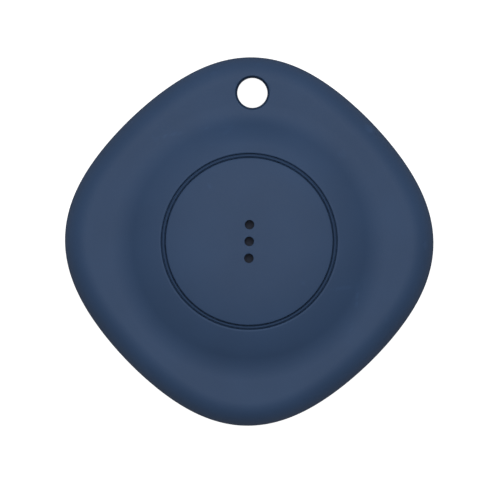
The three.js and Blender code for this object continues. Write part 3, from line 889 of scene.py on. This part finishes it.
def chip_package():
    """The radio chip: epoxy with a pin-one dimple, over a row of plated pads on each side."""
    low, high = span("bluetooth_chip")
    body = block("epoxy", low + Vector((0.02, 0.02, 0.06)), high - Vector((0.02, 0.02, 0)), 0.04)
    spot = (low.x + 0.9, high.y - 0.9)
    cut(body, disc("dimple", 0.3, high.z - 0.06, high.z + 1, spot, TINY_STEPS))
    parts = [paint(body, EPOXY_LOOK)]
    count, margin = 10, 0.6
    half, length = 0.11, 0.35
    pad_top = low.z + 0.2
    pitch = (high.x - low.x - 2 * margin) / (count - 1)
    for i in range(count):
        x = low.x + margin + pitch * i
        y = low.y + margin + pitch * i
        for pad_low, pad_high in (
            ((x - half, low.y, low.z), (x + half, low.y + length, pad_top)),
            ((x - half, high.y - length, low.z), (x + half, high.y, pad_top)),
            ((low.x, y - half, low.z), (low.x + length, y + half, pad_top)),
            ((high.x - length, y - half, low.z), (high.x, y + half, pad_top)),
        ):
            parts.append(paint(block("pad", pad_low, pad_high, 0.02, 1), SOLDER_LOOK))
    settle(merge("bluetooth_chip_part", parts), "bluetooth_chip")


def crystal(node):
    """A crystal can: a drawn lid on a wider flange."""
    low, high = span(node)
    flange = block("flange", low, (high.x, high.y, low.z + 0.12), 0.03)
    lid = block("lid", low + Vector((0.15, 0.15, 0.1)), high - Vector((0.15, 0.15, 0)), 0.12)
    settle(join(flange, lid), node, NICKEL_LOOK)


def capacitor(node):
    """A chip capacitor: a ceramic body between two soldered end caps."""
    low, high = span(node)
    cap = 0.24
    margin = Vector((cap, 0.02, 0.02))
    parts = [paint(block("body", low + margin, high - margin, 0.01), TAN_LOOK)]
    for start, end in ((low.x, low.x + cap), (high.x - cap, high.x)):
        part = block("end", (start, low.y, low.z), (end, high.y, high.z), 0.05)
        parts.append(paint(part, SOLDER_LOOK))
    settle(merge(f"{node}_part", parts), node)


def antenna():
    """A ceramic chip antenna with printed silver bars across its top."""
    low, high = span("chip_antenna")
    parts = [paint(block("body", low, high - Vector((0, 0, 0.04)), 0.05), CERAMIC_LOOK)]
    count, margin = 9, 0.6
    inset, half, thickness = 0.3, 0.12, 0.05
    pitch = (high.y - low.y - 2 * margin) / (count - 1)
    for i in range(count):
        y = low.y + margin + pitch * i
        bar_low = (low.x + inset, y - half, high.z - thickness)
        bar_high = (high.x - inset, y + half, high.z)
        parts.append(paint(block("bar", bar_low, bar_high, 0.01), SILVER_LOOK))
    settle(merge("chip_antenna_part", parts), "chip_antenna")


def inductor():
    """A shielded inductor with a ring-shaped recess in its top."""
    low, high = span("power_inductor")
    body = block("power_inductor_part", low, high, 0.18)
    mid = middle("power_inductor")
    inner, outer, floor = 0.75, 1.25, high.z - 0.1
    recess = turned("recess", [
        (inner, floor, 0), (outer, floor, 0), (outer, high.z + 1, 0), (inner, high.z + 1, 0),
    ], SMALL_STEPS, (mid.x, mid.y))
    settle(cut(body, recess), "power_inductor", EPOXY_LOOK)


washer("circuit_board", 0, 0.03, BOARD_LOOK)
chip_package()
crystal("radio_crystal")
crystal("clock_crystal")
for number in range(1, 7):
    capacitor(f"capacitor_{number}")
antenna()
inductor()


# ---- piezo sounder ---------------------------------------------------------------------------

def curve_through(points, steps):
    """A smooth line through the points."""
    padded = [points[0] * 2 - points[1], *points, points[-1] * 2 - points[-2]]
    line = []
    for before, start, end, after in zip(padded, padded[1:], padded[2:], padded[3:]):
        for step in range(steps):
            t = step / steps
            line.append(
                start
                + (end - before) * t / 2
                + (before * 2 - start * 5 + end * 4 - after) * t ** 2 / 2
                + (start * 3 - before - end * 3 + after) * t ** 3 / 2
            )
    line.append(points[-1])
    return line


def direction(line, i):
    """The unit vector along a line of points at one of them."""
    return (line[min(i + 1, len(line) - 1)] - line[max(i - 1, 0)]).normalized()


def tube(name, line, radius):
    """A round wire along a line that keeps across the X axis."""
    sides = 20
    verts = []
    for i, point in enumerate(line):
        run = direction(line, i)
        up = run.cross(Vector((1, 0, 0))).normalized()
        side = up.cross(run)
        for k in range(sides):
            turn = math.tau * k / sides
            verts.append((point + (side * math.cos(turn) + up * math.sin(turn)) * radius) * MM)
    return swept(name, verts, sides)


def swept(name, verts, sides):
    """Joins equal loops of vertices into a closed bar."""
    loops = len(verts) // sides
    faces = [tuple(range(sides)), tuple(range((loops - 1) * sides, loops * sides))]
    for i in range(loops - 1):
        for k in range(sides):
            m = (k + 1) % sides
            faces.append((i * sides + k, (i + 1) * sides + k, (i + 1) * sides + m, i * sides + m))
    mesh = bpy.data.meshes.new(name)
    mesh.from_pydata(verts, [], faces)
    bm = bmesh.new()
    bm.from_mesh(mesh)
    bmesh.ops.recalc_face_normals(bm, faces=bm.faces[:])
    bm.to_mesh(mesh)
    bm.free()
    return new_object(name, mesh)


def piezo_lead(node, look):
    """A lead that bends from the sounder down to its end over the board."""
    side = 1 if middle(node).x > 0 else -1
    top, end = span("piezo_plate")[1].z - 0.54, 6.55
    line = curve_through([
        Vector((1.2 * side, -3.2, top)), Vector((1.2 * side, -4.1, top - 0.35)),
        Vector((0.96 * side, -4.6, top - 0.9)), Vector((0.96 * side, -4.4, end)),
    ], 10)
    settle(tube(f"{node}_part", line, 0.16), node, look)


washer("piezo_adhesive_ring", 5.1, 0.05, SEAL_LOOK)
washer("piezo_plate", 0, 0.04, BRASS_LOOK)
washer("piezo_ceramic", 0, 0.03, SILVER_LOOK)
piezo_lead("piezo_lead_red", RED_LOOK)
piezo_lead("piezo_lead_black", WIRE_LOOK)


# ---- battery carrier, contacts and screws ----------------------------------------------------

def bent_strip(name, corners, thickness, width):
    """A strip bent from sheet, along a centre line of corners (x, z, bend radius)."""
    line = rounded(corners, 6)
    half, soft = width / 2, width / 2 - 0.06
    section = [
        (-half, -0.5), (-soft, -1), (soft, -1), (half, -0.5),
        (half, 0.5), (soft, 1), (-soft, 1), (-half, 0.5),
    ]
    verts = []
    for i, point in enumerate(line):
        run = direction(line, i)
        normal = Vector((-run.y, run.x)) * thickness / 2
        for y, side in section:
            at = point + normal * side
            verts.append((at.x * MM, y * MM, at.y * MM))
    return swept(name, verts, len(section))


def carrier():
    """A plate under the board, a ribbed wall round the cell, and four low ears for the screws."""
    low, high = span("battery_carrier")
    board = span("circuit_board")[1].x
    plate_low = high.z - 0.4
    plate = turned("battery_carrier_part", [
        (0, plate_low, 0), (board, plate_low, 0.08), (board, high.z, 0.08), (0, high.z, 0),
    ], BUTTON_STEPS)
    inner, outer, wall_top = 10.3, 11.2, plate_low + 0.2
    join(plate, turned("wall", [
        (inner, low.z, 0.2), (outer, low.z, 0.15), (outer, wall_top, 0), (inner, wall_top, 0),
    ], BUTTON_STEPS))
    for degrees in range(30, 360, 30):
        gusset_low, gusset_high = (11.1, -0.3, plate_low - 0.9), (12.1, 0.3, plate_low + 0.1)
        turn = math.radians(degrees)
        join(plate, block("gusset", gusset_low, gusset_high, 0.08, turn=turn))
    for degrees in SCREW_ANGLES:
        spot = on_circle(degrees, SCREW_CIRCLE)
        arm = (10.9, -EAR_RADIUS, EAR_BOTTOM), (SCREW_CIRCLE, EAR_RADIUS, EAR_TOP)
        join(plate, block("ear_arm", *arm, turn=math.radians(degrees)))
        join(plate, disc("ear", EAR_RADIUS, EAR_BOTTOM, EAR_TOP, spot))
        cut(plate, disc("screw_hole", 0.8, EAR_BOTTOM - 1, EAR_TOP + 0.5, spot, TINY_STEPS))
    cut(plate, block("side_slot", (9, -2.1, low.z - 1), (13.2, 2.1, high.z + 1), 0.2))
    cut(plate, block("window", (-5.5, -1.7, plate_low - 1), (5.5, 1.7, high.z + 1), 0.25))
    settle(plate, "battery_carrier", BLACK_LOOK)


# Thickness of the contact leaves
LEAF = 0.15


def negative_contact():
    """A leaf that bows down to the middle of the cell."""
    low, high = span("negative_contact")
    top, touch = high.z - LEAF / 2, low.z + LEAF / 2
    settle(bent_strip("negative_contact_part", [
        (-4.8, top, 0), (-2.6, top, 0.4), (-1.2, top - 0.3, 0.5), (0.8, touch + 0.03, 0.8),
        (2, touch, 0.8), (3.2, touch + 0.2, 0),
    ], LEAF, high.y - low.y), "negative_contact", NICKEL_LOOK)


def positive_contact():
    """A leaf that hangs beside the cell and leans on its side."""
    low, high = span("positive_contact")
    top, touch = high.z - LEAF / 2, low.x + LEAF / 2
    settle(bent_strip("positive_contact_part", [
        (high.x, top, 0), (11.2, top, 0.1), (10.95, top - 0.2, 0.1), (10.9, 4.2, 0.6),
        (touch, 3, 0.5), (touch + 0.15, 2.2, 0),
    ], LEAF, high.y - low.y), "positive_contact", NICKEL_LOOK)


def screw(node):
    """A pan-head screw, head down, with a cross recess and rings for a thread."""
    low, high = span(node)
    head, deep, centre = low.z + 0.65, low.z + 0.35, middle(node)
    radius = (high.x - low.x) / 2
    corners = [(0, low.z, 0), (radius, low.z, 0.3), (radius, head, 0.05), (0.6, head, 0.05)]
    pitch = 0.4
    z = head + 0.3
    while z + pitch < high.z - 0.5:
        corners += [(0.55, z, 0.02), (0.68, z + pitch / 2, 0.02)]
        z += pitch
    corners += [(0.5, high.z - 0.45, 0), (0.2, high.z, 0.05), (0, high.z, 0)]
    part = turned(f"{node}_part", corners, 48, (centre.x, centre.y), 3)
    for across, along in ((0.14, 0.62), (0.62, 0.14)):
        arm_low = (centre.x - across, centre.y - along, low.z - 1)
        arm_high = (centre.x + across, centre.y + along, deep)
        cut(part, block("recess", arm_low, arm_high, 0.05))
    settle(part, node, NICKEL_LOOK)


carrier()
negative_contact()
positive_contact()
for number in range(1, 5):
    screw(f"carrier_screw_{number}")


# ---- coin cell and pad -----------------------------------------------------------------------

# Thickness of the can and the cap
STEEL = 0.25


def cell_can():
    """The cell's can, recessed a little underneath, with its lip crimped inwards."""
    low, high = span("cell_can")
    radius, lip = high.x, high.z
    floor, inside = low.z + 0.05, low.z + STEEL
    settle(turned("cell_can_part", [
        (0, floor, 0), (7.6, floor, 0.1), (7.9, low.z, 0.1), (radius, low.z, 0.35),
        (radius, lip, 0.3), (radius - 0.6, lip, 0.06), (radius - 0.6, lip - 0.15, 0.04),
        (radius - STEEL, lip - 0.4, 0.1), (radius - STEEL, inside, 0.1), (0, inside, 0),
    ], BUTTON_STEPS), "cell_can", CAN_LOOK)


def cell_grommet():
    low, high = span("cell_grommet")
    top = span("cell_cap")[1].z
    inner, neck = 8.85, 9.32
    settle(turned("cell_grommet_part", [
        (inner, low.z, 0.05), (high.x, low.z, 0.1), (high.x, top - 0.75, 0.1),
        (neck, top - 0.5, 0.06), (neck, high.z, 0.06), (inner, high.z, 0.06),
    ], BUTTON_STEPS), "cell_grommet", SEAL_LOOK)


def cell_cap():
    """The cell's cap, recessed a little on top."""
    low, high = span("cell_cap")
    inner, inside, face = 8.5, high.z - STEEL, high.z - 0.06
    settle(turned("cell_cap_part", [
        (0, inside, 0), (inner, inside, 0.1), (inner, low.z, 0.05), (high.x, low.z, 0.05),
        (high.x, high.z, 0.22), (7.2, high.z, 0.3), (6.9, face, 0.3), (0, face, 0),
    ], BUTTON_STEPS), "cell_cap", CAP_LOOK)


cell_can()
cell_grommet()
cell_cap()
washer("cell_core", 0, 0.1, PASTE_LOOK)
washer("cell_foam_pad", 0, 0.06, FOAM_LOOK)


# ---- camera, light and floor -----------------------------------------------------------------

AMBIENT = 0.14
PAPER_GLOW = 0.96

# The softbox stands back from the middle, towards the key-ring hole; sizes are in metres
SOFTBOX_SIZE = 0.62
SOFTBOX_WATTS = 4.65
SOFTBOX_BACK = 0.16
SOFTBOX_UP = 0.6

# What the camera sees of the floor, and its lens in millimetres
VIEW_WIDTH = 53.15 * MM
VIEW_CENTRE = (0.09 * MM, -0.37 * MM)
VIEW_ROLL = math.radians(1.22)
LENS = 1400
SENSOR = 36


def surroundings():
    """True colours, and an even white world round the object."""
    scene = bpy.context.scene
    scene.view_settings.view_transform = "Standard"
    scene.view_settings.look = "None"
    scene.world = bpy.data.worlds.new("studio")
    scene.world.use_nodes = True
    background = scene.world.node_tree.nodes["Background"]
    background.inputs["Color"].default_value = (1, 1, 1, 1)
    background.inputs["Strength"].default_value = AMBIENT


def paper(name, half, drop, look, lights_object):
    """A square of paper that lies just under the object."""
    mesh = bpy.data.meshes.new(name)
    corners = [(-half, -half, 0), (half, -half, 0), (half, half, 0), (-half, half, 0)]
    mesh.from_pydata(corners, [], [(0, 1, 2, 3)])
    sheet = paint(new_object(name, mesh), look)
    sheet.location.z = -drop * MM
    sheet.visible_glossy = False
    sheet.visible_diffuse = lights_object


def floor():
    """Paper that glows nearly white, of which only the sheet round the object lights it."""
    look = Shader(
        "floor_paper", Roughness=0.9, Specular_IOR_Level=0.1, Emission_Strength=PAPER_GLOW
    )
    look.principled.inputs["Emission Color"].default_value = (1, 1, 1, 1)
    look.color(look.mix(look.ramp(look.noise(40.0), 0, 1), (0.29, 0.29, 0.29), (0.31, 0.31, 0.31)))
    paper("sheet", 0.06, 0.02, look.material, True)
    paper("floor", 1.5, 0.05, look.material, False)


def softbox():
    """A round lamp above the object, leaning in from the key-ring hole's side."""
    lamp = bpy.data.lights.new("overhead_softbox", "AREA")
    lamp.shape = "DISK"
    lamp.size = SOFTBOX_SIZE
    lamp.energy = SOFTBOX_WATTS
    light = bpy.data.objects.new("overhead_softbox", lamp)
    light.location = (0, SOFTBOX_BACK, SOFTBOX_UP)
    light.rotation_euler = (-math.atan2(SOFTBOX_BACK, SOFTBOX_UP), 0, 0)
    light.visible_camera = False
    bpy.context.scene.collection.objects.link(light)


def camera():
    """Straight down on the front face from far away, so that it shows with little perspective."""
    lens = bpy.data.cameras.new("camera")
    lens.lens = LENS
    lens.sensor_width = SENSOR
    lens.clip_end = 10
    eye = bpy.data.objects.new("camera", lens)
    eye.rotation_euler = (0, 0, VIEW_ROLL)
    eye.location = (*VIEW_CENTRE, VIEW_WIDTH * LENS / SENSOR)
    bpy.context.scene.collection.objects.link(eye)
    bpy.context.scene.camera = eye


surroundings()
floor()
softbox()
camera()
